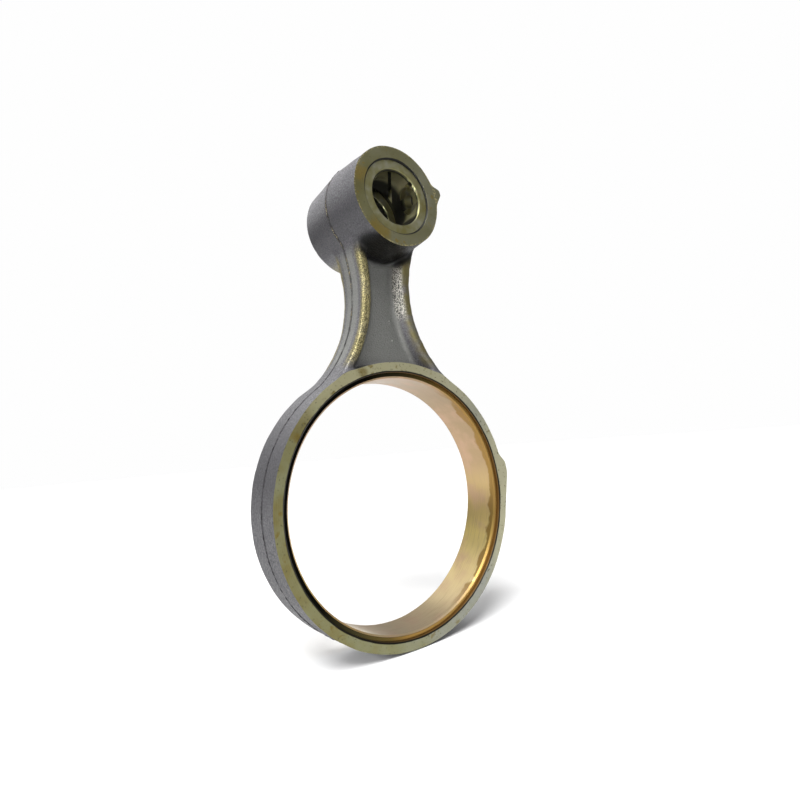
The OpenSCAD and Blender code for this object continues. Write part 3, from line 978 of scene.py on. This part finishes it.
# %% [markdown]
# A dark line is painted at the inner end of the front chamfer as its shadow. Turned rings as on the
# faces give the rest of the texture, and the places painted with shade are dull.

# %% Tool marks of the small bushes
edge_in = add(tree, "MapRange", {
    0: xyz[1],
    1: -13.62 * MM,
    2: -13.5 * MM}, interpolation_type="SMOOTHSTEP")
edge_out = add(tree, "MapRange", {
    0: xyz[1],
    1: -13.05 * MM,
    2: -13.2 * MM}, interpolation_type="SMOOTHSTEP")
# Painted shadow: a dark line at the inner end of the front chamfer.
chamfer_shadow_line = add(tree, "Mix", {
    0: add(tree, "Math", {0: edge_in, 1: edge_out}, operation="MULTIPLY"),
    6: bore_shaded,
    7: colour("#0a0a08")}, out=2, data_type="RGBA")
marks = add(tree, "TexWave", {
    "Vector": middle,
    "Scale": 0.314 / (0.5 * MM),
    "Distortion": 0.6}, out="Fac", wave_type="RINGS", rings_direction="Y")
bump = add(tree, "Bump", {"Height": marks, "Strength": 0.15, "Distance": 0.05 * MM})
rough = add(tree, "MapRange", {0: clouds, 1: 0.3, 2: 0.7, 3: 0.45, 4: 0.33})
rough = add(tree, "Mix", {0: bore_shade, 2: rough, 3: 0.9}, data_type="FLOAT")
shader.inputs["Metallic"].default_value = 0.8
finish_with(tree, shader, {"Base Color": chamfer_shadow_line, "Roughness": rough, "Normal": bump})
print("bush metal nodes", len(bush_metal.node_tree.nodes))

# %% [markdown]
# Each finished piece rides on the rod's one body and stands for its solid. Nothing moves against
# anything else, because the bushes are pressed in.

# %% Put the pieces on the frame
for piece, node_name, slot_name in (
        (casting, "rod_body", "cast_rod"), (big_bush, "big_end_bush", "bronze"),
        (front_bush, "small_end_bush_front", "bush_steel"),
        (rear_bush, "small_end_bush_rear", "bush_steel")):
    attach(piece, "root")
    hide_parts(node_name)
    print(piece.name, "faces", len(piece.data.polygons))

# %% [markdown]
# The studio is plain: a pale floor under the rod, a pale room, one broad soft key lamp high in
# front on the left, and a window on the left that draws the bright line on the flange. A weak lamp
# shines into the small bore, and a weak one stands behind. The room looks white, but it lights the
# rod less than a white room would, and the floor throws no soft light back up, so the shadows keep
# their depth.

# %% Floor and room
bpy.ops.object.select_all(action="DESELECT")
bpy.ops.mesh.primitive_plane_add(size=6, location=(0, 0, rod_low.z))
floor = named("floor")
floor_paint = bpy.data.materials.new("pale matt paint")
floor.data.materials.append(floor_paint)
tree, shader, place, xyz = begin(floor_paint)
shader.inputs["Base Color"].default_value = colour("#f4f4f4")
shader.inputs["Roughness"].default_value = 0.9
floor.visible_diffuse = False

world = bpy.data.worlds.new("pale room")
bpy.context.scene.world = world
world.use_nodes = True
tree = world.node_tree
height = add(tree, "SeparateXYZ", {0: add(tree, "TexCoord", {}, out="Generated")}, out="Z")
glow = add(tree, "MapRange", {0: height, 1: -0.3, 2: 0.5, 3: 0.08, 4: 0.5})
room = add(tree, "Background", {"Color": colour("#ffffff"), "Strength": glow})
backdrop = add(tree, "Background", {"Color": colour("#fefefe")})
seen = add(tree, "LightPath", {}, out="Is Camera Ray")
tree.links.new(add(tree, "MixShader", {0: seen, 1: room, 2: backdrop}),
               tree.nodes["World Output"].inputs[0])
print("room nodes", len(tree.nodes))


# %% Lamps
def lamp(name, kind, place, aim, power, **settings):
    """A lamp at a place, turned to face a point."""
    data = bpy.data.lights.new(name, kind)
    data.energy = power
    for setting, value in settings.items():
        setattr(data, setting, value)
    obj = bpy.data.objects.new(name, data)
    bpy.context.collection.objects.link(obj)
    obj.location = place
    obj.rotation_euler = (Vector(aim) - Vector(place)).to_track_quat("-Z", "Y").to_euler()
    return obj


lamp("key lamp", "SUN", (-0.42, -0.42, 0.8), (0, 0, 0), 3.4, angle=math.radians(28))
lamp("window lamp", "AREA", (-0.6, -0.1, 0.235), (0, 0, 0.06), 2.4, size=0.2)
lamp("bore lamp", "AREA", (-0.2, -0.3, -0.01), (0.006, -0.0097, 0.0905), 0.0045,
     size=0.05, spread=math.radians(8))
lamp("back lamp", "AREA", (-0.05, 0.5, 0.45), (0, 0, -0.02), 0.45, size=0.4)

# %% [markdown]
# The camera stands low and to the left in front, close to the rod, which makes the near edge of
# the ring look much bigger than the far one. Its roll is small, and its lens is a wide one.

# %% Camera
camera_data = bpy.data.cameras.new("camera")
camera_data.sensor_width = 36
camera_data.lens = 23.484
camera_data.clip_start = 0.005
camera = bpy.data.objects.new("camera", camera_data)
bpy.context.collection.objects.link(camera)
YAW, PITCH, ROLL = -0.6365, 0.0878, -0.0799
camera.matrix_world = (
    Matrix.Translation((-0.0897581, -0.1290914, 0.0160077)) @ Matrix.Rotation(YAW, 4, "Z")
    @ Matrix.Rotation(math.radians(90) + PITCH, 4, "X") @ Matrix.Rotation(ROLL, 4, "Z"))
bpy.context.scene.camera = camera
bpy.context.scene.view_settings.view_transform = "Standard"
print("camera at m", [round(part, 3) for part in camera.matrix_world.translation])
